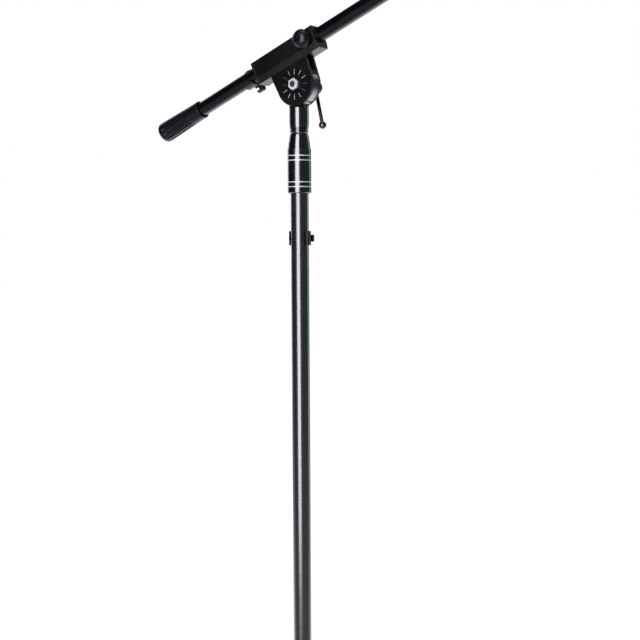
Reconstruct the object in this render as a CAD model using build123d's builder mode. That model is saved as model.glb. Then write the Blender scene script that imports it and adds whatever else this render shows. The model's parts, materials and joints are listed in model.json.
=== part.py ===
from build123d import *
import os
from math import asin, cos, degrees, radians, sin, tan

os.makedirs("parts", exist_ok=True)

# Boom microphone stand on a folding tripod. Millimetres and degrees, +Z up.
# The origin is on the floor under the mast's axis and under the middle of the bounding box.
# The boom lies in the XZ plane and rises towards +X. The clamp knob faces -Y and the T-bar of
# the pivot bolt is on the +Y side.

# ---- Fits ----
RUN = 0.05  # radial clearance of a turning or sliding fit
GAP = 0.1  # space between faces that move past each other

# ---- Tripod ----
LEG_AZIMUTHS = (60, 180, 300)
HUB_R = 40.0
HUB_FOOT = 58.0
HUB_SHOULDER = 97.0
HUB_TOP = 130.0
HUB_BEVEL = 7.0
HUB_COLLAR_R = 17.5
SOCKET_FLOOR = 63.0
SLOT_WIDTH = 12.4
SLOT_ROOT = 18.2
SLOT_MOUTH = HUB_R + 2
PIVOT_R = 27.0
PIVOT_Z = 80.0
PIN_R = 3.0
PIN_LENGTH = 54.0
LEG_R = 8.0
LEG_BORE = 6.8
LEG_LENGTH = 316.0
LEG_END_Z = 8.5
LUG_LENGTH = 27.5
LUG_HALF = 6.0
LUG_PLUG = 20.0
FOOT_R = 11.0
FOOT_LENGTH = 32.0
FOOT_WALL = 4.0
LEG_SLOPE = degrees(asin((PIVOT_Z - LEG_END_Z) / LEG_LENGTH))
BASE_BOLT_R = 4.0
BASE_BOLT_TOP = 80.0
BASE_WASHER_R = 11.0
BASE_WASHER_T = 1.6

# ---- Mast ----
LOWER_R = 11.0
LOWER_BORE = 9.8
UPPER_R = 9.0
UPPER_BORE = 7.75
UPPER_FOOT = 150.0
THREAD_R = 7.94  # 5/8 inch microphone thread

# ---- Height clutch ----
CLUTCH = 850.0  # bottom of the clutch above the floor
LOWER_TOP = CLUTCH + 40
BUSH_R = 12.95
BUSH_FOOT = CLUTCH + 6.5
BUSH_TOP = CLUTCH + 46
SLEEVE_R = 14.4
SLEEVE_BORE = 13.0
SLEEVE_LIP = 6.0
SLEEVE_TOP = CLUTCH + 54
RING_HEIGHTS = (7.7, 13.4, 39.9, 45.6)
RING_WIDTH = 1.3
RING_DEPTH = 0.3
NOSE_TOP = CLUTCH + 73
CONE_FOOT = BUSH_TOP + 1.5
CONE_FOOT_R = 12.0
CONE_TOP = CLUTCH + 67
CONE_TOP_R = 9.7
COLLET_GAP = 0.3
COLLET_FOOT = CLUTCH + 30
COLLET_TOP = CLUTCH + 65
COLLET_SLIT = 1.0

# ---- Swivel adapter ----
UPPER_TOP = CLUTCH + 72
FLANGE_TOP = CLUTCH + 73.3
LOCK_FOOT = CLUTCH + 73.5
LOCK_R = 11.2
LOCK_GROOVE = 1.0
ADAPTER_FOOT = CLUTCH + 80
ADAPTER_R = 11.9
ADAPTER_TOP = CLUTCH + 104.8
STUD_TOP = CLUTCH + 98
TONGUE_R = 26.0
TONGUE_HALF = 5.0

# ---- Tilting head ----
HINGE_Z = CLUTCH + 132
TILT = 23.0
BOOM_OFFSET = 41.0  # hinge axis to boom axis
EAR_R = 26.5
EAR_INNER = 5.9
EAR_OUTER = 9.5
EAR_ROOT = 28.6  # half width of the ears where they meet the block
EAR_CHAMFER = 0.7
BLOCK_REAR = -45.0
BLOCK_FRONT = 47.0
BLOCK_HALF = 12.0
BLOCK_TOP = 12.0
BLOCK_CREASE = -9.0
BLOCK_FOOT = -17.0
BLOCK_FILLET = 1.5
CAP_T = 3.0
BORE_R = 9.6
SEAT_R = 10.5
SEAT_LENGTH = 6.1
BOLT_R = 4.0
WASHER_R = 8.0
WASHER_T = 1.1
NUT_ACROSS = 13.0
NUT_T = 3.4
BOLT_END = -14.4
CROSS_Y = 36.0
BOSS_R = 7.5
BOSS_END = 41.5
BAR_R = 2.2
BALL_R = 4.8
BAR_REACH = 48.0  # pivot axis to the middle of the lower ball
BAR_LEAN = 12.5

# ---- Clamp knob ----
KNOB_S = 36.0
KNOB_R = 11.5
KNOB_BOSS_R = 7.5
KNOB_BOSS_FACE = -15.0
KNOB_FRONT = -27.0
KNOB_SHOULDER = -20.5
KNOB_SCREW_R = 3.0
KNOB_FLUTES = 16
SHOE_R = 3.5
SHOE_FACE = -12.4

# ---- Boom ----
BOOM_R = 9.0
BOOM_BORE = 8.0
BOOM_TAIL = -213.0
BOOM_NOSE = 304.2  # the tip reaches as far forward of the mast as the rear foot behind it
GRIP_TAIL = -218.5
GRIP_RIM = -147.5
GRIP_TAIL_R = 12.9
GRIP_RIM_R = 11.5
INNER_R = 7.0
INNER_BORE = 6.0
INNER_TAIL = BOOM_NOSE - 290
INNER_NOSE = BOOM_NOSE + 48
TIP_SHOULDER = INNER_NOSE + 14
TIP_END = TIP_SHOULDER + 14
TIP_FLANGE_R = 9.5
LOCK_TAIL = BOOM_NOSE - 28
LOCK_NOSE = BOOM_NOSE + 22
LOCK_COLLAR_R = 12.5
LOCK_BUSH_R = 10.6

# ---- Cable clips ----
CLIP_WALL = 2.6
CLIP_MOUTH = 74.0  # half angle of the mouth at its ends
CLIP_WAIST = 60.0  # half angle of the mouth half way up
CLIP_LIP = 80.0  # half angle between the flared lips
LIP_R = 1.8
HOOK_REACH = 11.0  # tube surface to the middle of the cable hook
HOOK_R = 5.2
HOOK_BORE = 2.8
HOOK_SLOT = 3.4
HOOK_TURN = -45.0
HOOK_HEIGHT = 8.5
HOOK_ARM = 2.6
MAST_CLIP_Z = CLUTCH - 55
MAST_CLIP_HEIGHT = 17.4
BOOM_CLIP_S = -64.0
BOOM_CLIP_HEIGHT = 14.0
BOOM_CLIP_TURN = -121.0

# ---- Shared frames ----
along = Vector(cos(radians(TILT)), 0, sin(radians(TILT)))
upward = Vector(-sin(radians(TILT)), 0, cos(radians(TILT)))
hinge = Vector(0, 0, HINGE_Z)
boom_foot = hinge + upward * BOOM_OFFSET
knob_centre = boom_foot + along * KNOB_S


def boom_plane(s):
    """Across the boom, s from the point over the hinge: x is +Y, y is the head's up."""
    return Plane(origin=boom_foot + along * s, x_dir=(0, 1, 0), z_dir=along)


def pin_plane(y, centre=hinge):
    """Across a shaft that runs along +Y: x is along the boom, y is the head's down."""
    return Plane(origin=centre + Vector(0, y, 0), x_dir=along, z_dir=(0, 1, 0))


def leg_side(azimuth):
    """Upright plane through a leg: x points away from the mast, y is +Z."""
    turn = radians(azimuth)
    return Plane(
        origin=(0, 0, 0),
        x_dir=(cos(turn), sin(turn), 0),
        z_dir=(sin(turn), -cos(turn), 0),
    )


def finish(piece, name):
    """Label a finished piece and write it."""
    piece.part.label = name
    export_step(piece.part, f"parts/{name}.step")


def profile_plane(frame):
    """Plane through a frame's z axis: x is the radius, y is the height."""
    return Plane(origin=frame.origin, x_dir=frame.x_dir, z_dir=-frame.y_dir)


def turned(name, frame, *outlines):
    """A piece turned about a frame's z, one solid for each (radius, height) outline."""
    with BuildPart() as piece:
        for outline in outlines:
            with BuildSketch(profile_plane(frame)):
                with BuildLine():
                    Polyline(*outline, close=True)
                make_face()
            revolve(axis=Axis(frame.origin, frame.z_dir))
    finish(piece, name)


def band(inner, outer, low, high):
    """Outline of a plain ring."""
    return [(inner, low), (outer, low), (outer, high), (inner, high)]


def slot_ceiling(radius):
    """Height of a leg slot's ceiling, the stop that holds the spread leg up under load."""
    slope = radians(LEG_SLOPE)
    return PIVOT_Z + (LEG_R + GAP) / cos(slope) - (radius - PIVOT_R) * tan(slope)


# ---- Tripod hub: a casting with a socket for the mast and three leg slots, open below ----
with BuildPart() as tripod_hub:
    with BuildSketch(Plane.XZ):
        with BuildLine():
            Polyline(
                (BASE_BOLT_R, HUB_FOOT),
                (HUB_R - 4, HUB_FOOT),
                (HUB_R, HUB_FOOT + 4),
                (HUB_R, HUB_SHOULDER - HUB_BEVEL - 3),
                (HUB_R - HUB_BEVEL, HUB_SHOULDER),
                (HUB_COLLAR_R, HUB_SHOULDER),
                (HUB_COLLAR_R, HUB_TOP - 3),
                (HUB_COLLAR_R - 3, HUB_TOP),
                (LOWER_R, HUB_TOP),
                (LOWER_R, SOCKET_FLOOR),
                (BASE_BOLT_R, SOCKET_FLOOR),
                close=True,
            )
        make_face()
    revolve(axis=Axis.Z)
    for azimuth in LEG_AZIMUTHS:
        with BuildSketch(leg_side(azimuth)):
            with BuildLine():
                Polyline(
                    (SLOT_ROOT, HUB_FOOT),
                    (SLOT_MOUTH, HUB_FOOT),
                    (SLOT_MOUTH, slot_ceiling(SLOT_MOUTH)),
                    (SLOT_ROOT, slot_ceiling(SLOT_ROOT)),
                    close=True,
                )
            make_face()
        extrude(amount=SLOT_WIDTH / 2, both=True, mode=Mode.SUBTRACT)
        with BuildSketch(leg_side(azimuth)):
            with Locations((PIVOT_R, PIVOT_Z)):
                Circle(PIN_R)
        extrude(amount=HUB_R, both=True, mode=Mode.SUBTRACT)
finish(tripod_hub, "tripod_hub")

with BuildPart() as leg_pivot_pins:
    for azimuth in LEG_AZIMUTHS:
        with BuildSketch(leg_side(azimuth)):
            with Locations((PIVOT_R, PIVOT_Z)):
                Circle(PIN_R)
        extrude(amount=PIN_LENGTH / 2, both=True)
finish(leg_pivot_pins, "leg_pivot_pins")

washer_foot = HUB_FOOT - BASE_WASHER_T
turned("base_washer", Plane.XY, band(BASE_BOLT_R, BASE_WASHER_R, washer_foot, HUB_FOOT))

with BuildPart() as base_bolt:
    with BuildSketch(Plane.XY.offset(washer_foot)):
        RegularPolygon(NUT_ACROSS / 2, 6, major_radius=False)
    extrude(amount=-5.3)
    with BuildSketch(Plane.XY.offset(washer_foot)):
        Circle(BASE_BOLT_R)
    extrude(amount=BASE_BOLT_TOP - washer_foot)
finish(base_bolt, "base_bolt")

turned("mast_end_plug", Plane.XY, band(BASE_BOLT_R, LOWER_BORE, SOCKET_FLOOR, BASE_BOLT_TOP + 2))


# ---- Legs: a hinge plug pressed into a steel tube, with a rubber foot ----
def make_leg(number, azimuth):
    """The plug, tube and foot of one leg, spread on the floor."""
    side = leg_side(azimuth)
    pivot = side.from_local_coords((PIVOT_R, PIVOT_Z))
    direction = side.x_dir * cos(radians(LEG_SLOPE)) - Vector(0, 0, sin(radians(LEG_SLOPE)))
    across = Plane(origin=pivot, x_dir=side.z_dir, z_dir=direction)
    flank = Plane(origin=pivot, x_dir=direction, z_dir=side.z_dir)
    with BuildPart() as plug:
        with BuildSketch(flank):
            Circle(LEG_R)
            Rectangle(LUG_LENGTH - 1, 2 * LEG_R, align=(Align.MIN, Align.CENTER))
        extrude(amount=LUG_HALF, both=True)
        with BuildSketch(across.offset(LUG_LENGTH - 3)):
            Circle(LEG_R)
        extrude(amount=3)
        with BuildSketch(across.offset(LUG_LENGTH)):
            Circle(LEG_BORE)
        extrude(amount=LUG_PLUG)
        with BuildSketch(flank):
            Circle(PIN_R + RUN)
        extrude(amount=LUG_HALF, both=True, mode=Mode.SUBTRACT)
    finish(plug, f"leg_{number}_hinge_plug")
    tube_end = LEG_LENGTH - FOOT_WALL
    turned(f"leg_{number}_tube", across, band(LEG_BORE, LEG_R, LUG_LENGTH, tube_end))
    with BuildPart() as foot:
        with BuildSketch(across.offset(LEG_LENGTH - FOOT_LENGTH)):
            Circle(FOOT_R)
        extrude(amount=FOOT_LENGTH)
        rims = foot.edges().filter_by(GeomType.CIRCLE).sort_by(Axis(pivot, direction))
        fillet(rims[-1], 3)
        chamfer(rims[0], 1)
        with BuildSketch(across.offset(LEG_LENGTH - FOOT_LENGTH)):
            Circle(LEG_R)
        extrude(amount=FOOT_LENGTH - FOOT_WALL, mode=Mode.SUBTRACT)
        with BuildSketch(Plane.XY):
            Circle(PIVOT_R + LEG_LENGTH + FOOT_R)
        extrude(amount=-FOOT_R, mode=Mode.SUBTRACT)
    finish(foot, f"leg_{number}_foot")


for number, azimuth in enumerate(LEG_AZIMUTHS, start=1):
    make_leg(number, azimuth)

# ---- Mast tubes ----
turned("lower_mast_tube", Plane.XY, band(LOWER_BORE, LOWER_R, SOCKET_FLOOR, LOWER_TOP))
turned("upper_mast_tube", Plane.XY, band(UPPER_BORE, UPPER_R, UPPER_FOOT, UPPER_TOP))
turned(
    "upper_mast_guide",
    Plane.XY.offset(UPPER_FOOT),
    [
        (5, -8),
        (LOWER_BORE - RUN - 0.8, -8),
        (LOWER_BORE - RUN, -7),
        (LOWER_BORE - RUN, 0),
        (UPPER_BORE, 0),
        (UPPER_BORE, 15),
        (5, 15),
    ],
)
turned(
    "mast_top_stud",
    Plane.XY,
    [
        (0, UPPER_TOP - 20),
        (UPPER_BORE, UPPER_TOP - 20),
        (UPPER_BORE, UPPER_TOP),
        (UPPER_R, UPPER_TOP),
        (UPPER_R, FLANGE_TOP),
        (THREAD_R, FLANGE_TOP),
        (THREAD_R, STUD_TOP - 1),
        (THREAD_R - 1, STUD_TOP),
        (0, STUD_TOP),
    ],
)

# ---- Height clutch: bushing on the lower tube, slotted collet, and a two-piece grip ----
turned(
    "clutch_bushing",
    Plane.XY,
    [
        (LOWER_R, BUSH_FOOT),
        (BUSH_R, BUSH_FOOT),
        (BUSH_R, BUSH_TOP),
        (LOWER_BORE, BUSH_TOP),
        (LOWER_BORE, LOWER_TOP),
        (LOWER_R, LOWER_TOP),
    ],
)

with BuildPart() as clutch_collet:
    with BuildSketch(Plane.XZ):
        with BuildLine():
            Polyline(
                (UPPER_R + RUN, COLLET_FOOT),
                (LOWER_BORE - RUN, COLLET_FOOT),
                (LOWER_BORE - RUN, BUSH_TOP + GAP),
                (CONE_FOOT_R - COLLET_GAP, BUSH_TOP + GAP),
                (CONE_FOOT_R - COLLET_GAP, CONE_FOOT),
                (CONE_TOP_R - COLLET_GAP, COLLET_TOP),
                (UPPER_R + RUN, COLLET_TOP),
                close=True,
            )
        make_face()
    revolve(axis=Axis.Z)
    with BuildSketch(Plane.XY.offset(COLLET_TOP)):
        Rectangle(2 * CONE_FOOT_R, COLLET_SLIT)
        Rectangle(COLLET_SLIT, 2 * CONE_FOOT_R)
    extrude(amount=COLLET_FOOT + 6 - COLLET_TOP, mode=Mode.SUBTRACT)
finish(clutch_collet, "clutch_collet")

with BuildPart() as clutch_sleeve:
    with BuildSketch(Plane.XZ):
        with BuildLine():
            Polyline(
                (LOWER_R + RUN, CLUTCH),
                (SLEEVE_R - 0.6, CLUTCH),
                (SLEEVE_R, CLUTCH + 0.6),
                (SLEEVE_R, SLEEVE_TOP),
                (SLEEVE_BORE, SLEEVE_TOP),
                (SLEEVE_BORE, CLUTCH + SLEEVE_LIP),
                (LOWER_R + RUN, CLUTCH + SLEEVE_LIP),
                close=True,
            )
        make_face()
        for height in RING_HEIGHTS:
            with Locations((SLEEVE_R, CLUTCH + height)):
                Rectangle(2 * RING_DEPTH, RING_WIDTH, mode=Mode.SUBTRACT)
    revolve(axis=Axis.Z)
finish(clutch_sleeve, "clutch_sleeve")

with BuildPart() as clutch_nose:
    with BuildSketch(Plane.XZ):
        with BuildLine():
            Spline(
                (13.75, SLEEVE_TOP),
                (13.35, CLUTCH + 57.5),
                (13.05, CLUTCH + 61),
                (12.3, CLUTCH + 65),
                (11.66, CLUTCH + 69),
                (10.9, CLUTCH + 72),
            )
            Polyline(
                (10.9, CLUTCH + 72),
                (10.3, NOSE_TOP),
                (UPPER_R + GAP, NOSE_TOP),
                (UPPER_R + GAP, CONE_TOP),
                (CONE_TOP_R, CONE_TOP),
                (CONE_FOOT_R, CONE_FOOT),
                (SLEEVE_BORE, CONE_FOOT),
                (SLEEVE_BORE, SLEEVE_TOP),
                (13.75, SLEEVE_TOP),
            )
        make_face()
    revolve(axis=Axis.Z)
finish(clutch_nose, "clutch_nose")

# ---- Swivel adapter and its lock ring ----
lock_points = [(THREAD_R, LOCK_FOOT), (LOCK_R - 0.4, LOCK_FOOT), (LOCK_R, LOCK_FOOT + 0.4)]
for groove in (1.8, 3.8):
    lock_points += [
        (LOCK_R, LOCK_FOOT + groove),
        (LOCK_R - LOCK_GROOVE, LOCK_FOOT + groove + 0.3),
        (LOCK_R - LOCK_GROOVE, LOCK_FOOT + groove + 0.7),
        (LOCK_R, LOCK_FOOT + groove + 1.0),
    ]
lock_points += [
    (LOCK_R, ADAPTER_FOOT - 0.4),
    (LOCK_R - 0.4, ADAPTER_FOOT),
    (THREAD_R, ADAPTER_FOOT),
]
turned("adapter_lock_ring", Plane.XY, lock_points)

with BuildPart() as swivel_adapter:
    with BuildSketch(Plane.XZ):
        with BuildLine():
            Polyline(
                (THREAD_R, ADAPTER_FOOT),
                (ADAPTER_R - 0.5, ADAPTER_FOOT),
                (ADAPTER_R, ADAPTER_FOOT + 4.5),
                (ADAPTER_R, ADAPTER_TOP - 1),
                (ADAPTER_R - 1, ADAPTER_TOP),
                (0, ADAPTER_TOP),
                (0, STUD_TOP + 1),
                (THREAD_R, STUD_TOP + 1),
                close=True,
            )
        make_face()
    revolve(axis=Axis.Z)
    with BuildSketch(Plane.XZ):
        with Locations((0, HINGE_Z)):
            Circle(TONGUE_R)
        with Locations((0, STUD_TOP + 3)):
            Rectangle(2 * ADAPTER_R - 2, TONGUE_HALF * 2, align=(Align.CENTER, Align.MIN))
        with Locations((0, HINGE_Z)):
            Circle(BOLT_R + RUN, mode=Mode.SUBTRACT)
    extrude(amount=TONGUE_HALF, both=True)
finish(swivel_adapter, "swivel_adapter")

# ---- Clamp head: a block around the boom with two hinge ears, one casting ----
EAR_TOP = BOOM_OFFSET + BLOCK_FOOT
block_outline = [
    (BLOCK_HALF, BLOCK_TOP),
    (BLOCK_HALF, BLOCK_CREASE),
    (EAR_OUTER, BLOCK_FOOT),
    (-EAR_OUTER, BLOCK_FOOT),
    (-BLOCK_HALF, BLOCK_CREASE),
    (-BLOCK_HALF, BLOCK_TOP),
]
with BuildPart() as clamp_head:
    with BuildSketch(pin_plane(0)):
        Circle(EAR_R)
        with BuildLine():
            Polyline(
                (-EAR_R, 0),
                (-EAR_ROOT, -EAR_TOP - 1),
                (EAR_ROOT, -EAR_TOP - 1),
                (EAR_R, 0),
                close=True,
            )
        make_face()
    extrude(amount=EAR_OUTER, both=True)
    rims = clamp_head.edges().filter_by(GeomType.CIRCLE).group_by(Axis.Y)
    chamfer(rims[0] + rims[-1], EAR_CHAMFER)
    with BuildSketch(boom_plane(BLOCK_REAR)):
        with BuildLine():
            Polyline(*block_outline, close=True)
        make_face()
    extrude(amount=BLOCK_FRONT - BLOCK_REAR)
    top_edges = clamp_head.edges().filter_by(Axis(boom_foot, along))
    fillet(top_edges.sort_by(Axis(boom_foot, upward))[-2:], BLOCK_FILLET)
    with BuildSketch(pin_plane(0)):
        Circle(TONGUE_R + 6 * GAP)
        with Locations((0, -EAR_TOP)):
            Rectangle(4 * EAR_R, 4 * EAR_R, align=(Align.CENTER, Align.MIN))
    extrude(amount=EAR_INNER, both=True, mode=Mode.SUBTRACT)
    with BuildSketch(pin_plane(0, knob_centre)):
        Circle(KNOB_BOSS_R)
    extrude(amount=KNOB_BOSS_FACE)
    with BuildSketch(boom_plane(BLOCK_REAR)):
        Circle(BORE_R)
    extrude(amount=BLOCK_FRONT - BLOCK_REAR, mode=Mode.SUBTRACT)
    for seat in (BLOCK_REAR, BLOCK_FRONT - SEAT_LENGTH):
        with BuildSketch(boom_plane(seat)):
            Circle(SEAT_R)
        extrude(amount=SEAT_LENGTH, mode=Mode.SUBTRACT)
    with BuildSketch(pin_plane(0)):
        Circle(BOLT_R + RUN)
    extrude(amount=EAR_OUTER, both=True, mode=Mode.SUBTRACT)
    with BuildSketch(pin_plane(0, knob_centre)):
        Circle(SHOE_R)
    extrude(amount=SHOE_FACE, mode=Mode.SUBTRACT)
    with BuildSketch(pin_plane(0, knob_centre)):
        Circle(KNOB_SCREW_R + RUN)
    extrude(amount=KNOB_BOSS_FACE, mode=Mode.SUBTRACT)
finish(clamp_head, "clamp_head")

with BuildPart() as clamp_end_caps:
    for face, length in ((BLOCK_REAR, -CAP_T), (BLOCK_FRONT, CAP_T)):
        with BuildSketch(boom_plane(face)):
            with BuildLine():
                Polyline(*block_outline, close=True)
            make_face()
            Circle(BORE_R, mode=Mode.SUBTRACT)
        extrude(amount=length)
    long_edges = clamp_end_caps.edges().filter_by(Axis(boom_foot, along))
    fillet(long_edges.group_by(Axis(boom_foot, upward))[-1], BLOCK_FILLET)
finish(clamp_end_caps, "clamp_end_caps")

with BuildPart() as pressure_shoe:
    with BuildSketch(pin_plane(SHOE_FACE, knob_centre)):
        Circle(SHOE_R)
    extrude(amount=-SHOE_FACE)
    with BuildSketch(boom_plane(0)):
        Circle(BOOM_R + GAP)
    extrude(amount=2 * KNOB_S, mode=Mode.SUBTRACT)
finish(pressure_shoe, "pressure_shoe")

# ---- Pivot: washers, nut, and a bolt that turns by a sliding T-bar ----
bolt_frame = pin_plane(0)
turned(
    "friction_washers",
    bolt_frame,
    band(BOLT_R + RUN, TONGUE_R - 2, TONGUE_HALF + GAP, EAR_INNER),
    band(BOLT_R + RUN, TONGUE_R - 2, -EAR_INNER, -TONGUE_HALF - GAP),
)
turned(
    "pivot_washers",
    bolt_frame,
    band(BOLT_R + RUN, WASHER_R, EAR_OUTER, EAR_OUTER + WASHER_T),
    band(BOLT_R + RUN, WASHER_R, -EAR_OUTER - WASHER_T, -EAR_OUTER),
)

with BuildPart() as pivot_nut:
    with BuildSketch(pin_plane(-EAR_OUTER - WASHER_T)):
        RegularPolygon(NUT_ACROSS / 2, 6, major_radius=False)
        Circle(BOLT_R + RUN, mode=Mode.SUBTRACT)
    extrude(amount=-NUT_T)
    nut_rim = pivot_nut.faces().sort_by(Axis.Y)[0].outer_wire().edges()
    chamfer(nut_rim, 1.0)
finish(pivot_nut, "pivot_nut")

bar_direction = Vector(sin(radians(BAR_LEAN)), 0, -cos(radians(BAR_LEAN)))
bar_plane = Plane(origin=hinge + Vector(0, CROSS_Y, 0), x_dir=(0, 1, 0), z_dir=bar_direction)
with BuildPart() as pivot_bolt:
    with BuildSketch(pin_plane(BOLT_END)):
        Circle(BOLT_R)
    extrude(amount=EAR_OUTER + WASHER_T + GAP - BOLT_END)
    chamfer(pivot_bolt.edges().sort_by(Axis.Y)[0], 0.6)
    with BuildSketch(pin_plane(EAR_OUTER + WASHER_T + GAP)):
        Circle(BOSS_R)
    extrude(amount=BOSS_END - EAR_OUTER - WASHER_T - GAP)
    chamfer(pivot_bolt.edges().sort_by(Axis.Y)[-1], 1.2)
    with BuildSketch(bar_plane):
        Circle(BAR_R + RUN)
    extrude(amount=2 * BOSS_R, both=True, mode=Mode.SUBTRACT)
finish(pivot_bolt, "pivot_bolt")

UPPER_BALL = -BOSS_R - BALL_R - 0.4
turned("lever_bar", bar_plane, band(0, BAR_R, UPPER_BALL, BAR_REACH))
for name, centre in (("lever_ball_upper", UPPER_BALL), ("lever_ball_lower", BAR_REACH)):
    inward = 1 if centre < 0 else -1
    with BuildPart(bar_plane.offset(centre)) as lever_ball:
        Sphere(BALL_R)
        with BuildSketch(bar_plane.offset(centre)):
            Circle(BAR_R)
        extrude(amount=inward * 2 * BALL_R, mode=Mode.SUBTRACT)
    finish(lever_ball, name)

# ---- Clamp knob and the screw moulded into it ----
KNOB_FOOT = KNOB_BOSS_FACE - GAP
SCREW_HEAD = KNOB_SHOULDER - 2
with BuildPart() as clamp_knob:
    with BuildSketch(profile_plane(pin_plane(0, knob_centre))):
        with BuildLine():
            Line((0, KNOB_FRONT), (3, KNOB_FRONT))
            ThreePointArc((3, KNOB_FRONT), (8.6, KNOB_FRONT + 2.2), (KNOB_R, KNOB_SHOULDER))
            Polyline(
                (KNOB_R, KNOB_SHOULDER),
                (KNOB_R, KNOB_FOOT - 1.5),
                (KNOB_R - 1.5, KNOB_FOOT),
                (KNOB_SCREW_R, KNOB_FOOT),
                (KNOB_SCREW_R, SCREW_HEAD),
                (0, SCREW_HEAD),
                (0, KNOB_FRONT),
            )
        make_face()
    revolve(axis=Axis(knob_centre, (0, 1, 0)))
    with BuildSketch(pin_plane(KNOB_FOOT, knob_centre)):
        with PolarLocations(KNOB_R + 0.7, KNOB_FLUTES):
            Circle(1.2)
    extrude(amount=KNOB_SHOULDER - KNOB_FOOT - 1, mode=Mode.SUBTRACT)
finish(clamp_knob, "clamp_knob")

with BuildPart() as clamp_knob_screw:
    with BuildSketch(pin_plane(SCREW_HEAD, knob_centre)):
        Circle(KNOB_SCREW_R)
    extrude(amount=SHOE_FACE - GAP - SCREW_HEAD)
finish(clamp_knob_screw, "clamp_knob_screw")

# ---- Boom: bushes in the head, outer tube, grip and tail plug ----
boom_frame = boom_plane(0)
turned(
    "boom_bushes",
    boom_frame,
    band(BOOM_R + RUN, SEAT_R - RUN, BLOCK_REAR + RUN, BLOCK_REAR + SEAT_LENGTH - RUN),
    band(BOOM_R + RUN, SEAT_R - RUN, BLOCK_FRONT - SEAT_LENGTH + RUN, BLOCK_FRONT - RUN),
)
turned("boom_outer_tube", boom_frame, band(BOOM_BORE, BOOM_R, BOOM_TAIL, BOOM_NOSE))
turned("boom_tail_plug", boom_frame, band(0, BOOM_BORE, BOOM_TAIL, BOOM_TAIL + 14))

with BuildPart() as boom_grip:
    with BuildSketch(profile_plane(boom_frame)):
        with BuildLine():
            Polyline(
                (0, GRIP_TAIL),
                (GRIP_TAIL_R - 2, GRIP_TAIL),
                (GRIP_TAIL_R, GRIP_TAIL + 2),
                (GRIP_RIM_R, GRIP_RIM - 3),
                (GRIP_RIM_R, GRIP_RIM),
                (BOOM_R + 0.6, GRIP_RIM),
                (BOOM_R, GRIP_RIM - 2),
                (BOOM_R, BOOM_TAIL),
                (0, BOOM_TAIL),
                close=True,
            )
        make_face()
    revolve(axis=Axis(boom_foot, along))
finish(boom_grip, "boom_grip")

# ---- Boom lock and extension ----
LOCK_BUSH_NOSE = BOOM_NOSE + 6
turned(
    "boom_lock_bush",
    boom_frame,
    [
        (BOOM_R, LOCK_TAIL + 1),
        (LOCK_BUSH_R, LOCK_TAIL + 1),
        (LOCK_BUSH_R, LOCK_BUSH_NOSE),
        (BOOM_BORE, LOCK_BUSH_NOSE),
        (BOOM_BORE, BOOM_NOSE),
        (BOOM_R, BOOM_NOSE),
    ],
)

COLLET_TAIL = BOOM_NOSE - 8
COLLET_NOSE = LOCK_NOSE - 4
with BuildPart() as boom_collet:
    with BuildSketch(profile_plane(boom_frame)):
        with BuildLine():
            Polyline(
                (INNER_R + RUN, COLLET_TAIL),
                (BOOM_BORE, COLLET_TAIL),
                (BOOM_BORE, LOCK_BUSH_NOSE),
                (LOCK_BUSH_R - 1, LOCK_BUSH_NOSE),
                (LOCK_BUSH_R - 1, LOCK_BUSH_NOSE + 1),
                (BOOM_BORE, COLLET_NOSE),
                (INNER_R + RUN, COLLET_NOSE),
                close=True,
            )
        make_face()
    revolve(axis=Axis(boom_foot, along))
    with BuildSketch(boom_plane(COLLET_NOSE)):
        Rectangle(2 * LOCK_BUSH_R, COLLET_SLIT)
        Rectangle(COLLET_SLIT, 2 * LOCK_BUSH_R)
    extrude(amount=COLLET_TAIL + 5 - COLLET_NOSE, mode=Mode.SUBTRACT)
finish(boom_collet, "boom_collet")

turned(
    "boom_lock_collar",
    boom_frame,
    [
        (LOCK_BUSH_R + RUN, LOCK_TAIL),
        (LOCK_COLLAR_R - 0.8, LOCK_TAIL),
        (LOCK_COLLAR_R, LOCK_TAIL + 0.8),
        (LOCK_COLLAR_R, LOCK_NOSE - 8),
        (LOCK_COLLAR_R - 2.5, LOCK_NOSE),
        (INNER_R + GAP, LOCK_NOSE),
        (INNER_R + GAP, COLLET_NOSE + 1),
        (BOOM_BORE + COLLET_GAP, COLLET_NOSE + 1),
        (LOCK_BUSH_R - 1 + COLLET_GAP, LOCK_BUSH_NOSE + 1),
        (LOCK_BUSH_R + RUN, LOCK_BUSH_NOSE + 1),
    ],
)
turned("boom_inner_tube", boom_frame, band(INNER_BORE, INNER_R, INNER_TAIL, INNER_NOSE))
turned(
    "boom_inner_guide",
    boom_plane(INNER_TAIL),
    [
        (4, -8),
        (BOOM_BORE - RUN - 0.8, -8),
        (BOOM_BORE - RUN, -7),
        (BOOM_BORE - RUN, 0),
        (INNER_BORE, 0),
        (INNER_BORE, 12),
        (4, 12),
    ],
)
turned(
    "boom_tip_stud",
    boom_frame,
    [
        (0, INNER_NOSE - 20),
        (INNER_BORE, INNER_NOSE - 20),
        (INNER_BORE, INNER_NOSE),
        (TIP_FLANGE_R - 1, INNER_NOSE),
        (TIP_FLANGE_R, INNER_NOSE + 1),
        (TIP_FLANGE_R, TIP_SHOULDER - 1),
        (TIP_FLANGE_R - 1, TIP_SHOULDER),
        (THREAD_R, TIP_SHOULDER),
        (THREAD_R, TIP_END - 1),
        (THREAD_R - 1, TIP_END),
        (0, TIP_END),
    ],
)


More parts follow.
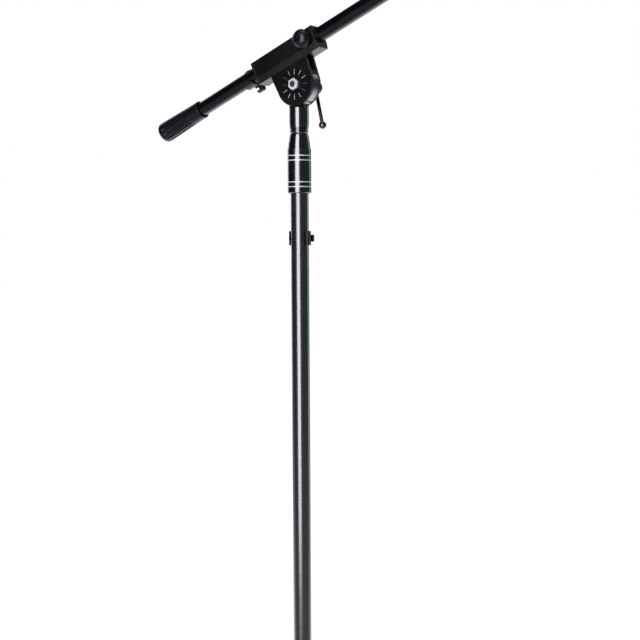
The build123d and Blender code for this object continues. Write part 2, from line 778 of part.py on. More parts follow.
# ---- Cable clips: a C that snaps on the tube and an open hook for the cable ----
def cable_clip(name, plane, tube_r, height):
    """A clip whose mouth faces the plane's -y and whose cable hook stands on its +y."""
    outer = tube_r + CLIP_WALL
    mouth_half = outer * sin(radians(CLIP_MOUTH))
    waist_half = outer * sin(radians(CLIP_WAIST))
    lip_x = (tube_r + LIP_R) * sin(radians(CLIP_LIP))
    lip_y = (tube_r + LIP_R) * cos(radians(CLIP_LIP))
    hook_y = tube_r + HOOK_REACH
    mouth = Plane(origin=plane.origin, x_dir=plane.x_dir, z_dir=-plane.y_dir)
    with BuildPart() as clip:
        with BuildSketch(plane):
            Circle(outer)
            with Locations((-lip_x, -lip_y), (lip_x, -lip_y)):
                Circle(LIP_R)
            Circle(tube_r, mode=Mode.SUBTRACT)
        extrude(amount=height / 2, both=True)
        with BuildSketch(mouth):
            with BuildLine():
                Polyline(
                    (-mouth_half, -height),
                    (-mouth_half, -height / 2),
                    (-waist_half, 0),
                    (-mouth_half, height / 2),
                    (-mouth_half, height),
                    (mouth_half, height),
                    (mouth_half, height / 2),
                    (waist_half, 0),
                    (mouth_half, -height / 2),
                    (mouth_half, -height),
                    close=True,
                )
            make_face()
        extrude(amount=2 * outer, mode=Mode.SUBTRACT)
        with BuildSketch(plane):
            with Locations((0, hook_y)):
                Circle(HOOK_R)
            with Locations((0, tube_r + CLIP_WALL / 2)):
                Rectangle(HOOK_ARM, HOOK_REACH - CLIP_WALL / 2, align=(Align.CENTER, Align.MIN))
            with Locations((0, hook_y)):
                Circle(HOOK_BORE, mode=Mode.SUBTRACT)
                Rectangle(
                    2 * HOOK_R,
                    HOOK_SLOT,
                    rotation=HOOK_TURN,
                    align=(Align.MIN, Align.CENTER),
                    mode=Mode.SUBTRACT,
                )
        extrude(amount=HOOK_HEIGHT / 2, both=True)
    finish(clip, name)


cable_clip("mast_cable_clip", Plane.XY.offset(MAST_CLIP_Z), LOWER_R, MAST_CLIP_HEIGHT)
turn = radians(BOOM_CLIP_TURN)
boom_clip_plane = Plane(
    origin=boom_foot + along * BOOM_CLIP_S,
    x_dir=Vector(0, cos(turn), 0) + upward * sin(turn),
    z_dir=along,
)
cable_clip("boom_cable_clip", boom_clip_plane, BOOM_R, BOOM_CLIP_HEIGHT)
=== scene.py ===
import json
import math

import bmesh
import bpy
from mathutils import Matrix, Vector


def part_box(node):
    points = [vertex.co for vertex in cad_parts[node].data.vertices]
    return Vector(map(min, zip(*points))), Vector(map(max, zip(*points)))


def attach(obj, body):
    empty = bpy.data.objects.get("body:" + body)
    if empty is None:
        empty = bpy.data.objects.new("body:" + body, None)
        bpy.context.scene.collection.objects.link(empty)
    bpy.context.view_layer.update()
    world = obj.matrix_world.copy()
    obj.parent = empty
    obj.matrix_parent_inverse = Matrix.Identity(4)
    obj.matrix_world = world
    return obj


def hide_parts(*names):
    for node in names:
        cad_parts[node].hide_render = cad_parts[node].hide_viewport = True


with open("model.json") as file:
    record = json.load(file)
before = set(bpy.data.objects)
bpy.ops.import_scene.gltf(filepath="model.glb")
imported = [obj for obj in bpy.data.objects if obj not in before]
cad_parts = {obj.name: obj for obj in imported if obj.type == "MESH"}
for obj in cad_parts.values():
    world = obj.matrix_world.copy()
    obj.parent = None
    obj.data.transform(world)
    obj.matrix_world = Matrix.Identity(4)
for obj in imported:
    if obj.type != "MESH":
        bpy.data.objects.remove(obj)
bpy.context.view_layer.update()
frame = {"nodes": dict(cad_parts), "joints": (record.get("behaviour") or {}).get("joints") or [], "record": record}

# A boom microphone stand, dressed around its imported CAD. Metres, in the row frame.
# The CAD nodes keep their shapes. The rubber grip and feet are remade here as soft mouldings,
# and the scale marks on the clamp head and the thread at the boom's tip are added.

MM = 0.001
nodes = frame["nodes"]
record = frame["record"]
joints = {joint["name"]: joint for joint in frame["joints"]}
hinge = Vector(joints["boom_tilt"]["pos_m"])
boom_axis = Vector(joints["boom_slide"]["axis"]).normalized()
boom_origin = Vector(joints["boom_roll"]["pos_m"])
mast_axis = Vector((0, 0, 1))
hinge_axis = Vector((0, 1, 0))
floor_origin = Vector((0, 0, 0))

SLEEVE_RING_HEIGHTS = (7.7, 13.4, 39.9, 45.6)  # millimetres above the sleeve's foot
SLEEVE_RING_HALF = 0.62 * MM
KNURL_BAND = 3.6 * MM  # height of the knurled band at the sleeve's top
KNURL_TEETH = 60
MARK_LEAN = math.radians(-75)  # the direction round the nut where the marks are fullest, from +X
MARK_COUNT = 12
MARK_INNER = 12.6 * MM
MARK_OUTER = 18.9 * MM
MARK_HALF = 0.26 * MM
MARK_RISE = 0.06 * MM
EAR_FACE = 1.1 * MM  # how far the ear's face lies inside the pivot washer's
GRIP_RIM_R = 11.5 * MM
GRIP_FLUTES = 12
GRIP_FLUTE_DEPTH = 1.4 * MM
GRIP_CORNER = 3.4 * MM
GRIP_STATIONS = 60
BOOT_RIBS = 4
BOOT_TOE = 5 * MM
THREAD_PER_INCH = 27
THREAD_DEPTH = 0.55 * MM


def span(node, origin, axis):
    """First and last station of a CAD node along an axis, and its largest radius about it."""
    offsets = [vertex.co - origin for vertex in nodes[node].data.vertices]
    stations = [offset.dot(axis) for offset in offsets]
    radius = max((offset - axis * offset.dot(axis)).length for offset in offsets)
    return min(stations), max(stations), radius


def square_to(axis):
    """Two unit vectors square to an axis and to each other."""
    side = Vector((0, 1, 0)) if abs(axis.y) < 0.9 else Vector((1, 0, 0))
    first = (side - axis * side.dot(axis)).normalized()
    return first, axis.cross(first)


# ---- Shaders ----


class NodeTree:
    """A node tree, with short calls for the nodes that the finishes and the world share."""

    def __init__(self, tree):
        self.tree = tree

    def node(self, kind, **settings):
        made = self.tree.nodes.new(kind)
        for key, value in settings.items():
            setattr(made, key, value)
        return made

    def feed(self, socket, value):
        """Links a socket's output to an input, or sets the input to a plain value."""
        if isinstance(value, bpy.types.NodeSocket):
            self.tree.links.new(value, socket)
        else:
            socket.default_value = value

    def maths(self, operation, *values, clamp=False):
        made = self.node("ShaderNodeMath", operation=operation, use_clamp=clamp)
        for socket, value in zip(made.inputs, values):
            self.feed(socket, value)
        return made.outputs[0]

    def vector(self, operation, *values):
        made = self.node("ShaderNodeVectorMath", operation=operation)
        for socket, value in zip(made.inputs, values):
            self.feed(socket, value)
        return made.outputs["Value" if operation in ("DOT_PRODUCT", "LENGTH") else "Vector"]

    def ramp(self, value, low, high, to_low=0.0, to_high=1.0):
        made = self.node("ShaderNodeMapRange", interpolation_type="SMOOTHSTEP")
        for name, setting in zip(
            ("Value", "From Min", "From Max", "To Min", "To Max"),
            (value, low, high, to_low, to_high),
        ):
            self.feed(made.inputs[name], setting)
        return made.outputs["Result"]

    def mix(self, share, first, second):
        """A colour between two others, each a socket or red, green and blue."""
        made = self.node("ShaderNodeMix", data_type="RGBA")
        self.feed(made.inputs["Factor"], share)
        for socket, colour in zip((made.inputs[6], made.inputs[7]), (first, second)):
            self.feed(socket, colour if isinstance(colour, bpy.types.NodeSocket) else (*colour, 1))
        return made.outputs[2]


class Finish(NodeTree):
    """A material's node tree."""

    def __init__(self, name, colour, roughness, metallic=0.0):
        self.material = bpy.data.materials.new(name)
        self.material.use_nodes = True
        self.material.diffuse_color = (*colour, 1)
        super().__init__(self.material.node_tree)
        self.bsdf = self.tree.nodes["Principled BSDF"]
        self.put("Base Color", (*colour, 1))
        self.put("Roughness", roughness)
        self.put("Metallic", metallic)
        self.place = self.node("ShaderNodeTexCoord").outputs["Object"]

    def put(self, name, value):
        self.feed(self.bsdf.inputs[name], value)

    def noise(self, scale, detail=3.0, place=None):
        made = self.node("ShaderNodeTexNoise")
        self.feed(made.inputs["Vector"], place or self.place)
        self.feed(made.inputs["Scale"], scale)
        self.feed(made.inputs["Detail"], detail)
        return made.outputs["Fac"]

    def around(self, origin, axis):
        """Station along an axis, radius about it and angle round it, as sockets."""
        first, second = square_to(axis)
        offset = self.vector("SUBTRACT", self.place, tuple(origin))
        station = self.vector("DOT_PRODUCT", offset, tuple(axis))
        x = self.vector("DOT_PRODUCT", offset, tuple(first))
        y = self.vector("DOT_PRODUCT", offset, tuple(second))
        squares = self.maths("ADD", self.maths("POWER", x, 2), self.maths("POWER", y, 2))
        return station, self.maths("SQRT", squares), self.maths("ARCTAN2", y, x)

    def inside(self, value, low, high, soft):
        """1 where a value lies between two limits, with soft edges."""
        rise = self.ramp(value, low - soft, low + soft)
        fall = self.ramp(value, high - soft, high + soft, 1.0, 0.0)
        return self.maths("MULTIPLY", rise, fall)

    def edges(self, radius):
        """Rounded normals, and how near the surface is to an outer or inner edge (0 to 1)."""
        bevel = self.node("ShaderNodeBevel", samples=6)
        self.feed(bevel.inputs["Radius"], radius)
        flat = self.node("ShaderNodeNewGeometry").outputs["Normal"]
        turn = self.vector("DOT_PRODUCT", bevel.outputs["Normal"], flat)
        return bevel.outputs["Normal"], self.ramp(turn, 0.75, 0.995, 1.0, 0.0)

    def relief(self, *layers, normal=None):
        """Stacks bumps, each a (height socket, depth in metres) pair, on the surface."""
        for height, depth in layers:
            bump = self.node("ShaderNodeBump")
            self.feed(bump.inputs["Height"], height)
            self.feed(bump.inputs["Distance"], depth)
            if normal is not None:
                self.feed(bump.inputs["Normal"], normal)
            normal = bump.outputs["Normal"]
        self.put("Normal", normal)


COAT = (0.0012, 0.0012, 0.0018)
TUBE_COAT = (0.006, 0.0066, 0.0085)
COAT_WORN = (0.03, 0.03, 0.033)
STEEL = (0.62, 0.62, 0.63)


def black_coat(name, roughness=0.24, peel=1.2e-6, extra=None, paint=COAT, lacquer=0.0):
    """Black powder coat: orange peel, handling smudges and slightly rubbed edges. A lacquer
    share above 0 lays a hard, bright gloss over it."""
    finish = Finish(name, paint, roughness)
    normal, edge = finish.edges(0.35 * MM)
    smudge = finish.noise(38, 4)
    rub = finish.maths("MULTIPLY", edge, finish.ramp(finish.noise(210, 4), 0.45, 0.75))
    colour = finish.mix(finish.maths("MULTIPLY", rub, 0.5), paint, COAT_WORN)
    gloss = finish.ramp(smudge, 0.3, 0.75, roughness - 0.03, roughness + 0.05)
    layers = [(finish.noise(900, 2), peel), (finish.noise(4200, 2), peel * 0.3)]
    finish.put("Specular IOR Level", 0.5)
    finish.put("Coat Weight", lacquer)
    finish.put("Coat IOR", 2.2)
    finish.put("Coat Roughness", roughness * 0.8)
    if extra:
        colour, gloss, more = extra(finish, colour, gloss)
        layers += more
    finish.put("Base Color", colour)
    finish.put("Roughness", gloss)
    finish.relief(*layers, normal=normal)
    return finish.material


def tube_coat(name, origin, axis, roughness, paint, lacquer=0.0):
    """The same coat on a tube that slides in a clutch, with faint rubbed rings."""

    def rings(finish, colour, gloss):
        station, _, angle = finish.around(origin, axis)
        place = finish.node("ShaderNodeCombineXYZ")
        finish.feed(place.inputs["X"], station)
        finish.feed(place.inputs["Y"], finish.maths("MULTIPLY", angle, 0.004))
        scuff = finish.ramp(finish.noise(420, 5, place.outputs[0]), 0.52, 0.7)
        shade = finish.mix(finish.maths("MULTIPLY", scuff, 0.06), colour, COAT_WORN)
        return shade, finish.maths("ADD", gloss, finish.maths("MULTIPLY", scuff, 0.03)), []

    return black_coat(name, roughness, 1.2e-7, rings, paint, lacquer)


def sleeve_coat(name):
    """The clutch sleeve: bare silver rings in the coat, turned lines and a knurled top band."""
    foot, top, radius = span("clutch_sleeve", floor_origin, mast_axis)

    def rings(finish, colour, gloss):
        station, far, angle = finish.around(floor_origin, mast_axis)
        outside = finish.ramp(far, radius - 1.2 * MM, radius - 0.6 * MM)
        silver = 0.0
        for height in SLEEVE_RING_HEIGHTS:
            low = foot + height * MM - SLEEVE_RING_HALF
            bright = finish.inside(station, low, low + 2 * SLEEVE_RING_HALF, 0.05 * MM)
            silver = finish.maths("ADD", silver, bright, clamp=True)
        silver = finish.maths("MULTIPLY", silver, outside)
        knurl_band = finish.inside(station, top - KNURL_BAND, top - 0.3 * MM, 0.1 * MM)
        teeth = finish.maths("SINE", finish.maths("MULTIPLY", angle, KNURL_TEETH))
        knurl = finish.maths("MULTIPLY", teeth, knurl_band)
        finish.put("Metallic", finish.maths("MULTIPLY", silver, 0.5))
        finish.put("Coat Weight", finish.maths("SUBTRACT", 1.0, silver))
        shade = finish.mix(silver, colour, (0.8, 0.8, 0.82))
        wear = finish.maths("MULTIPLY", finish.ramp(knurl, 0.2, 1.0), 0.35)
        shade = finish.mix(wear, shade, COAT_WORN)
        lines = finish.noise(1, 2, finish.vector("MULTIPLY", finish.place, (40, 40, 3800)))
        gloss = finish.maths("ADD", gloss, finish.maths("MULTIPLY", silver, 0.22))
        return shade, gloss, [(knurl, 2.5e-5), (lines, 1e-6)]

    return black_coat(name, 0.23, 3e-7, rings, lacquer=1.0)


def bolt_coat(name):
    """The pivot bolt: a black boss, and a bright zinc shank that shows inside the nut."""
    shank_end = span("pivot_nut", hinge, hinge_axis)[1]

    def shank(finish, colour, gloss):
        station, _, _ = finish.around(hinge, hinge_axis)
        bright = finish.ramp(station, shank_end, shank_end + 1 * MM, 1.0, 0.0)
        finish.put("Metallic", bright)
        shade = finish.mix(bright, colour, (0.22, 0.26, 0.32))
        return shade, finish.maths("ADD", gloss, finish.maths("MULTIPLY", bright, 0.12)), []

    return black_coat(name, 0.24, 1.2e-6, shank)


def plated(name, colour, roughness, axis, origin, stain=(0.2, 0.17, 0.13), metallic=1.0):
    """Plated metal with fine turning marks about an axis and a few dull stains."""
    finish = Finish(name, colour, roughness, metallic)
    normal, edge = finish.edges(0.25 * MM)
    station, far, _ = finish.around(origin, axis)
    reach = finish.maths("ADD", far, station)
    turning = finish.maths("SINE", finish.maths("MULTIPLY", reach, 2 * math.pi / (0.35 * MM)))
    dull = finish.ramp(finish.noise(260, 5), 0.5, 0.8)
    shade = finish.mix(finish.maths("MULTIPLY", dull, 0.35), colour, stain)
    shade = finish.mix(finish.maths("MULTIPLY", edge, 0.4), shade, (0.9, 0.9, 0.9))
    finish.put("Base Color", shade)
    finish.put("Roughness", finish.maths("ADD", finish.maths("MULTIPLY", dull, 0.22), roughness))
    finish.relief((turning, 1e-6), (finish.noise(1800, 3), 1e-6), normal=normal)
    return finish.material


def nylon(name, colour, roughness, worn, grain=2.2e-5):
    """Moulded nylon: a spark-eroded grain, whitened edges and a soft sheen."""
    finish = Finish(name, colour, roughness)
    normal, edge = finish.edges(0.3 * MM)
    patch = finish.noise(70, 4)
    whitened = finish.maths("MULTIPLY", edge, finish.ramp(patch, 0.35, 0.7, 0.15, 0.6))
    finish.put("Base Color", finish.mix(whitened, colour, worn))
    finish.put("Roughness", finish.ramp(patch, 0.3, 0.7, roughness - 0.06, roughness + 0.08))
    finish.relief((finish.noise(2400, 3), grain), normal=normal)
    return finish.material


def rubber(name, colour, dusty):
    """Matte rubber with a fine skin grain, dust in patches and a bluish bloom."""
    finish = Finish(name, colour, 0.45)
    patch = finish.noise(45, 5)
    speck = finish.ramp(finish.noise(1500, 3), 0.62, 0.74)
    bloom = finish.ramp(patch, 0.4, 0.75, 0.0, 0.35)
    share = finish.maths("ADD", bloom, finish.maths("MULTIPLY", speck, 0.1), clamp=True)
    finish.put("Base Color", finish.mix(share, colour, dusty))
    finish.put("Roughness", finish.ramp(patch, 0.3, 0.7, 0.3, 0.38))
    finish.put("Specular IOR Level", 0.4)
    finish.relief((finish.noise(1300, 4), 2.5e-6), (finish.noise(160, 2), 1e-5))
    return finish.material


def mark_paint(name):
    """Thin white marking paint, fainter towards the two sides of the nut, with a few random bare specks."""
    finish = Finish(name, (0.8, 0.8, 0.78), 0.5)
    _, _, angle = finish.around(hinge, hinge_axis)
    # The marks fade by their angle round the nut; only the specks are random.
    off_lean = finish.maths("SUBTRACT", angle, MARK_LEAN)
    kept = finish.maths("ABSOLUTE", finish.maths("COSINE", off_lean))
    faded = finish.ramp(kept, 0.15, 0.9, 0.93, 0.1)
    speck = finish.ramp(finish.noise(500, 3), 0.5, 0.66, 0.0, 0.25)
    worn = finish.maths("ADD", faded, speck, clamp=True)
    finish.put("Base Color", finish.mix(worn, (0.6, 0.6, 0.6), (0.012, 0.012, 0.015)))
    finish.relief((finish.noise(2500, 3), 1e-6))
    return finish.material


bright_zinc = plated("bright_zinc", (0.78, 0.81, 0.84), 0.5, hinge_axis, hinge, metallic=0.6)
aged_nickel = plated("aged_nickel", (0.2, 0.145, 0.09), 0.2, hinge_axis, hinge, (0.1, 0.06, 0.03))
finishes = {
    "black_coat": black_coat("black_powder_coat"),
    "zinc": bright_zinc,
    "old_nickel": aged_nickel,
    "black_nylon": nylon("black_nylon", (0.006, 0.006, 0.008), 0.36, (0.05, 0.05, 0.055), 3e-6),
    "pale_nylon": nylon("natural_nylon", (0.74, 0.71, 0.64), 0.45, (0.85, 0.84, 0.8)),
    "rubber": rubber("foot_rubber", (0.007, 0.007, 0.008), (0.03, 0.029, 0.028)),
}
for part in record["subparts"]:
    for material_slot in nodes[part["node"]].material_slots:
        material_slot.material = finishes[part["material_slot"]]

mast_coat = tube_coat("mast_tube_coat", floor_origin, mast_axis, 0.28, TUBE_COAT, 1.0)
boom_coat = tube_coat("boom_tube_coat", boom_origin, boom_axis, 0.2, COAT)
stud_finish = plated("stud_zinc", STEEL, 0.25, mast_axis, floor_origin)
tip_finish = plated("tip_zinc", STEEL, 0.25, boom_axis, boom_origin)
special = {
    "lower_mast_tube": mast_coat,
    "upper_mast_tube": mast_coat,
    "boom_outer_tube": boom_coat,
    "boom_inner_tube": boom_coat,
    "adapter_lock_ring": black_coat("lock_ring_gloss", 0.2, 5e-7, lacquer=0.8),
    "clutch_sleeve": sleeve_coat("ringed_sleeve_coat"),
    "clamp_head": black_coat("casting_coat", 0.34, 3e-6),
    "clutch_nose": black_coat("nose_gloss", 0.17, 3e-7, lacquer=1.0),
    "swivel_adapter": black_coat("adapter_gloss", 0.2, 3e-7, lacquer=1.0),
    "clamp_knob": nylon("knob_nylon", (0.003, 0.003, 0.0045), 0.28, (0.04, 0.04, 0.045), 1e-6),
    "pivot_bolt": bolt_coat("pivot_bolt_coat"),
    "mast_top_stud": stud_finish,
    "boom_tip_stud": tip_finish,
}
for node, material in special.items():
    for material_slot in nodes[node].material_slots:
        material_slot.material = material


# ---- Remade and added pieces ----


def mesh_object(name, bm, material):
    """A smooth-shaded object from a bmesh, in the row frame."""
    bmesh.ops.recalc_face_normals(bm, faces=bm.faces)
    mesh = bpy.data.meshes.new(name)
    bm.to_mesh(mesh)
    bm.free()
    mesh.polygons.foreach_set("use_smooth", [True] * len(mesh.polygons))
    mesh.set_sharp_from_angle(angle=math.radians(40))
    mesh.materials.append(material)
    made = bpy.data.objects.new(name, mesh)
    bpy.context.scene.collection.objects.link(made)
    return made


def lathe(bm, origin, axis, profile, sides, shape=None):
    """Skins rings about an axis. Profile points are (station, radius); a zero radius is a tip.
    shape(station, angle, radius) may change a point's radius."""
    first, second = square_to(axis)
    rings = []
    for station, radius in profile:
        centre = origin + axis * station
        if radius == 0:
            rings.append([bm.verts.new(centre)])
            continue
        ring = []
        for step in range(sides):
            angle = 2 * math.pi * step / sides
            far = shape(station, angle, radius) if shape else radius
            out = first * math.cos(angle) + second * math.sin(angle)
            ring.append(bm.verts.new(centre + out * far))
        rings.append(ring)
    for one, two in zip(rings, rings[1:]):
        for step in range(sides):
            pair = (step, (step + 1) % sides)
            corners = [one[at % len(one)] for at in pair]
            corners += [two[at % len(two)] for at in reversed(pair)]
            bm.faces.new(list(dict.fromkeys(corners)))


def smooth(value):
    """A soft step from 0 to 1."""
    value = max(0.0, min(1.0, value))
    return value * value * (3 - 2 * value)


def bend_round(station, radius, corner, steps, inward):
    """Points of a quarter round that turns from an end face onto a side."""
    points = []
    for step in range(steps + 1):
        angle = math.pi / 2 * step / steps
        along = inward * corner * (1 - math.cos(angle))
        points.append((station + along, radius - corner * (1 - math.sin(angle))))
    return points


def build_grip():
    """The boom's rubber grip: a tapered sleeve with long flutes, a plain collar and an open rim."""
    tail, rim, fat = span("boom_grip", boom_origin, boom_axis)
    tube_tail, _, tube_r = span("boom_outer_tube", boom_origin, boom_axis)
    length = rim - tail
    flute_start, flute_end = tail + 7 * MM, rim - 17 * MM
    lip = tube_r + 1.3 * MM

    def taper(station):
        return fat + (GRIP_RIM_R - fat) * smooth((station - tail) / length)

    def shape(station, angle, radius):
        if radius < GRIP_RIM_R - 0.3 * MM:
            return radius
        ends = smooth((station - flute_start) / (4 * MM)) * smooth((flute_end - station) / (5 * MM))
        wave = smooth((math.cos(angle * GRIP_FLUTES) - 0.1) / 0.6)
        return radius - GRIP_FLUTE_DEPTH * ends * wave

    profile = [(tail, 0), (tail, fat * 0.35), (tail + 0.15 * MM, fat * 0.6)]
    profile += bend_round(tail + 0.2 * MM, fat - 0.1 * MM, GRIP_CORNER, 8, 1)
    for step in range(1, GRIP_STATIONS):
        share = step / GRIP_STATIONS
        station = tail + GRIP_CORNER + (length - GRIP_CORNER - 1.2 * MM) * share
        profile.append((station, taper(station)))
    profile += [(rim - 0.8 * MM, GRIP_RIM_R), (rim - 0.25 * MM, GRIP_RIM_R - 0.1 * MM)]
    profile += [(rim, GRIP_RIM_R - 0.4 * MM), (rim, lip + 0.3 * MM), (rim - 0.2 * MM, lip)]
    profile += [(rim - 4 * MM, lip), (rim - 5 * MM, tube_r), (tube_tail, tube_r), (tube_tail, 0)]
    bm = bmesh.new()
    lathe(bm, boom_origin, boom_axis, profile, 240, shape)
    material = rubber("grip_rubber", (0.003, 0.0042, 0.007), (0.008, 0.0105, 0.017))
    return mesh_object("grip_moulding", bm, material)


def build_foot(number):
    """A leg's rubber foot: a ribbed boot with a rounded toe, worn flat where it stands."""
    pivot = Vector(joints[f"leg_{number}_fold"]["pos_m"])
    tube_low, tube_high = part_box(f"leg_{number}_tube")
    axis = ((tube_low + tube_high) / 2 - pivot).normalized()
    mouth, end, wide = span(f"leg_{number}_foot", pivot, axis)
    tube_r = span(f"leg_{number}_tube", pivot, axis)[2]
    body = wide - 0.5 * MM
    profile = [(mouth, tube_r)]
    profile += bend_round(mouth, body - 0.4 * MM, 1.2 * MM, 4, 1)
    for rib in range(BOOT_RIBS):
        foot = mouth + (4 + 4 * rib) * MM
        for along, rise in ((0, -0.4), (0.5, 0.1), (1.0, 0.5), (2.0, 0.5), (2.5, 0.1), (3.0, -0.4)):
            profile.append((foot + along * MM, body + rise * MM))
    profile.append((end - BOOT_TOE - 1 * MM, body))
    profile += bend_round(end, body, BOOT_TOE, 6, -1)[::-1] + [(end, 0)]
    bm = bmesh.new()
    lathe(bm, pivot, axis, profile, 96)
    for vertex in bm.verts:
        vertex.co.z = max(vertex.co.z, 0.0)
    bmesh.ops.holes_fill(bm, edges=[edge for edge in bm.edges if edge.is_boundary])
    return mesh_object(f"leg_{number}_rubber_boot", bm, finishes["rubber"])


def build_marks():
    """White angle marks painted on the front ear of the clamp head, all round the pivot nut."""
    ear = hinge - hinge_axis * (span("pivot_washers", hinge, hinge_axis)[1] - EAR_FACE)
    bm = bmesh.new()
    for step in range(MARK_COUNT):
        angle = 2 * math.pi * step / MARK_COUNT
        out = Vector((math.sin(angle), 0, math.cos(angle)))
        side = Vector((math.cos(angle), 0, -math.sin(angle)))
        start = MARK_INNER if step % 3 else MARK_INNER - 0.5 * MM
        outline = [out * start - side * MARK_HALF, out * start + side * MARK_HALF]
        for turn in range(7):
            bend = math.pi * turn / 6
            reach = MARK_OUTER - MARK_HALF + MARK_HALF * math.sin(bend)
            outline.append(out * reach + side * MARK_HALF * math.cos(bend))
        ring = [bm.verts.new(ear + point) for point in outline]
        top = [bm.verts.new(vertex.co - hinge_axis * MARK_RISE) for vertex in ring]
        bm.faces.new(top)
        bm.faces.new(ring[::-1])
        for one in range(len(ring)):
            two = (one + 1) % len(ring)
            bm.faces.new((ring[one], ring[two], top[two], top[one]))
    return mesh_object("ear_angle_marks", bm, mark_paint("mark_paint"))


def build_thread():
    """The microphone thread at the boom's tip, as a helical skin over the stud."""
    _, tip, _ = span("boom_tip_stud", boom_origin, boom_axis)
    mount = next(mount for mount in record["mounts"] if mount["name"] == "microphone_thread")
    crest = mount["dims"]["r_mm"] * MM
    length = mount["dims"]["length_mm"] * MM
    pitch = 25.4 / THREAD_PER_INCH * MM
    root = crest - THREAD_DEPTH
    turns = int((length - 1.5 * MM) / pitch)
    start = tip - length + 0.4 * MM
    threaded = turns * pitch
    rings = turns * 8

    def shape(station, angle, radius):
        if radius < root:
            return radius
        phase = ((station - start) / pitch - angle / (2 * math.pi)) % 1.0
        ridge = 1 - abs(2 * phase - 1)
        fade = smooth((station - start) / pitch) * smooth((start + threaded - station) / pitch)
        return crest + 0.02 * MM - (crest - root) * 0.35 * (1 - ridge) * fade

    profile = [(start, root - 0.2 * MM)]
    profile += [(start + threaded * step / rings, crest) for step in range(rings + 1)]
    profile += [(start + threaded, root - 0.2 * MM)]
    bm = bmesh.new()
    lathe(bm, boom_origin, boom_axis, profile, 64, shape)
    return mesh_object("microphone_thread", bm, tip_finish)


grip = build_grip()
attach(grip, "boom")
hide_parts("boom_grip")
for number in (1, 2, 3):
    boot = build_foot(number)
    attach(boot, f"leg_{number}")
    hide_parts(f"leg_{number}_foot")
marks = build_marks()
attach(marks, "head")
thread = build_thread()
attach(thread, "boom_extension")

# ---- Stage: a plain pale floor, soft boxes and a white surround ----

CAMERA_AZIMUTH = 35.0
CAMERA_DISTANCE = 1.6058
CAMERA_HEIGHT = 0.7834
CAMERA_HEADING = 34.14
CAMERA_PITCH = -3.19
CAMERA_ROLL = -0.35
CAMERA_LENS = 73.23
ROOM_LEFT = (0.022, 0.015, 0.028)
ROOM_RIGHT = (0.05, 0.085, 0.09)
ROOM_GROUND = (1.9, 1.9, 2.05)
FLOOR_R = 30.0
FLOOR_SHADE = 0.2


def azimuth_point(azimuth, distance, height):
    """A point at an azimuth (0 is in front, towards -Y; 90 is towards +X) round the mast."""
    turn = math.radians(azimuth)
    return Vector((math.sin(turn) * distance, -math.cos(turn) * distance, height))


def build_floor():
    """A wide floor that glows faintly, so that it stays pale around the object's shadow."""
    bm = bmesh.new()
    bmesh.ops.create_circle(bm, cap_ends=True, segments=96, radius=FLOOR_R)
    finish = Finish("pale_floor", (FLOOR_SHADE, FLOOR_SHADE, FLOOR_SHADE), 0.9)
    floor = mesh_object("studio_floor", bm, finish.material)
    speck = finish.ramp(finish.noise(900, 3), 0.4, 0.7, FLOOR_SHADE * 0.9, FLOOR_SHADE * 1.1)
    tone = finish.node("ShaderNodeCombineColor")
    for channel in ("Red", "Green", "Blue"):
        finish.feed(tone.inputs[channel], speck)
    finish.put("Base Color", tone.outputs[0])
    finish.put("Specular IOR Level", 0.0)
    finish.put("Emission Color", (1, 1, 1, 1))
    _, far, _ = finish.around(floor_origin, mast_axis)
    finish.put("Emission Strength", finish.ramp(far, 0.55, 1.1, 0.62, 1.0))
    floor.visible_glossy = False


def build_world():
    """White to the camera; to reflections a dim room, paler below and tinted at the sides."""
    world = bpy.data.worlds.new("studio")
    bpy.context.scene.world = world
    world.use_nodes = True
    sky = NodeTree(world.node_tree)
    place = sky.node("ShaderNodeTexCoord").outputs["Generated"]
    heading = math.radians(CAMERA_HEADING)
    to_right = sky.vector("DOT_PRODUCT", place, (math.cos(heading), math.sin(heading), 0))
    ahead = sky.vector("DOT_PRODUCT", place, (-math.sin(heading), math.cos(heading), 0))
    tint = sky.mix(sky.maths("MULTIPLY_ADD", to_right, 0.5, 0.5), ROOM_LEFT, ROOM_RIGHT)
    height = sky.vector("DOT_PRODUCT", place, tuple(mast_axis))
    below = sky.ramp(height, -0.05, -0.5)
    backdrop = sky.ramp(ahead, -0.1, 0.6, 0.16, 1.0)
    room = sky.mix(sky.maths("MULTIPLY", below, backdrop), tint, ROOM_GROUND)
    seen = sky.node("ShaderNodeLightPath").outputs["Is Camera Ray"]
    sky.feed(sky.tree.nodes["Background"].inputs["Color"], sky.mix(seen, room, (1, 1, 1)))


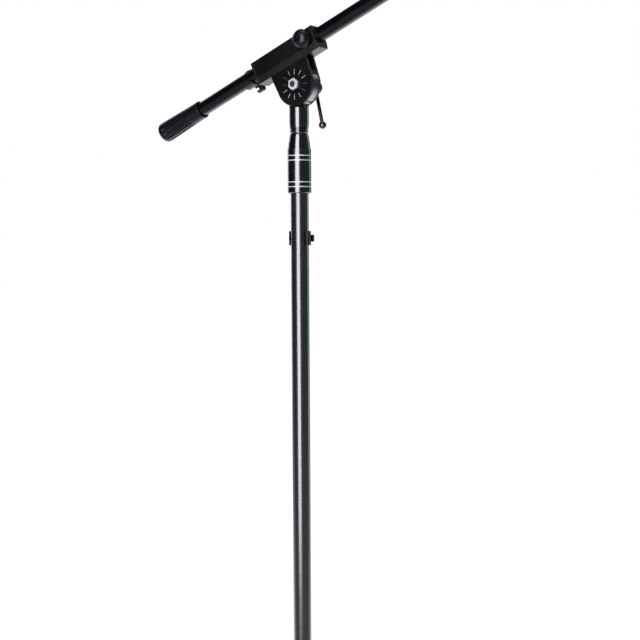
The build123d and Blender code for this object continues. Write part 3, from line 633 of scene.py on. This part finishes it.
def soft_box(name, place, aim, width, height, radiance, colour):
    """A rectangular area light of a given brightness, facing a point."""
    light = bpy.data.lights.new(name, "AREA")
    light.shape = "RECTANGLE"
    light.size, light.size_y = width, height
    light.energy = radiance * math.pi * width * height
    light.color = colour
    made = bpy.data.objects.new(name, light)
    made.location = place
    made.rotation_mode = "QUATERNION"
    made.rotation_quaternion = (place - aim).to_track_quat("Z", "Y")
    made.visible_camera = False
    bpy.context.scene.collection.objects.link(made)


def build_camera():
    """The photograph's viewpoint: a place round the mast, a heading, a pitch and a roll."""
    data = bpy.data.cameras.new("photo_camera")
    data.lens, data.sensor_width = CAMERA_LENS, 36
    camera = bpy.data.objects.new("photo_camera", data)
    bpy.context.scene.collection.objects.link(camera)
    heading, pitch, roll = (math.radians(a) for a in (CAMERA_HEADING, CAMERA_PITCH, CAMERA_ROLL))
    level = Vector((-math.sin(heading), math.cos(heading), 0))
    forward = level * math.cos(pitch) + mast_axis * math.sin(pitch)
    level_right = Vector((math.cos(heading), math.sin(heading), 0))
    level_up = level_right.cross(forward)
    right = level_right * math.cos(roll) + level_up * math.sin(roll)
    up = level_up * math.cos(roll) - level_right * math.sin(roll)
    place = azimuth_point(CAMERA_AZIMUTH, CAMERA_DISTANCE, CAMERA_HEIGHT)
    camera.matrix_world = Matrix(
        [(right[i], up[i], -forward[i], place[i]) for i in range(3)] + [(0, 0, 0, 1)]
    )
    bpy.context.scene.camera = camera


build_floor()
build_world()
aim = Vector((0, 0, 1.0))
soft_box("key_box", azimuth_point(13, 2.2, 1.15), aim, 1.45, 2.6, 5, (1.0, 0.93, 0.99))
soft_box("back_left", azimuth_point(-110, 2.6, 1.4), aim, 0.6, 2.4, 1.5, (0.9, 0.88, 1.0))
soft_box("back_right", azimuth_point(160, 2.6, 1.2), aim, 0.6, 2.4, 1.2, (0.85, 0.97, 1.0))
soft_box("overhead", Vector((0.2, -0.2, 3.2)), aim, 1.6, 1.6, 1.0, (1, 1, 1))
build_camera()
bpy.context.scene.view_settings.view_transform = "Standard"
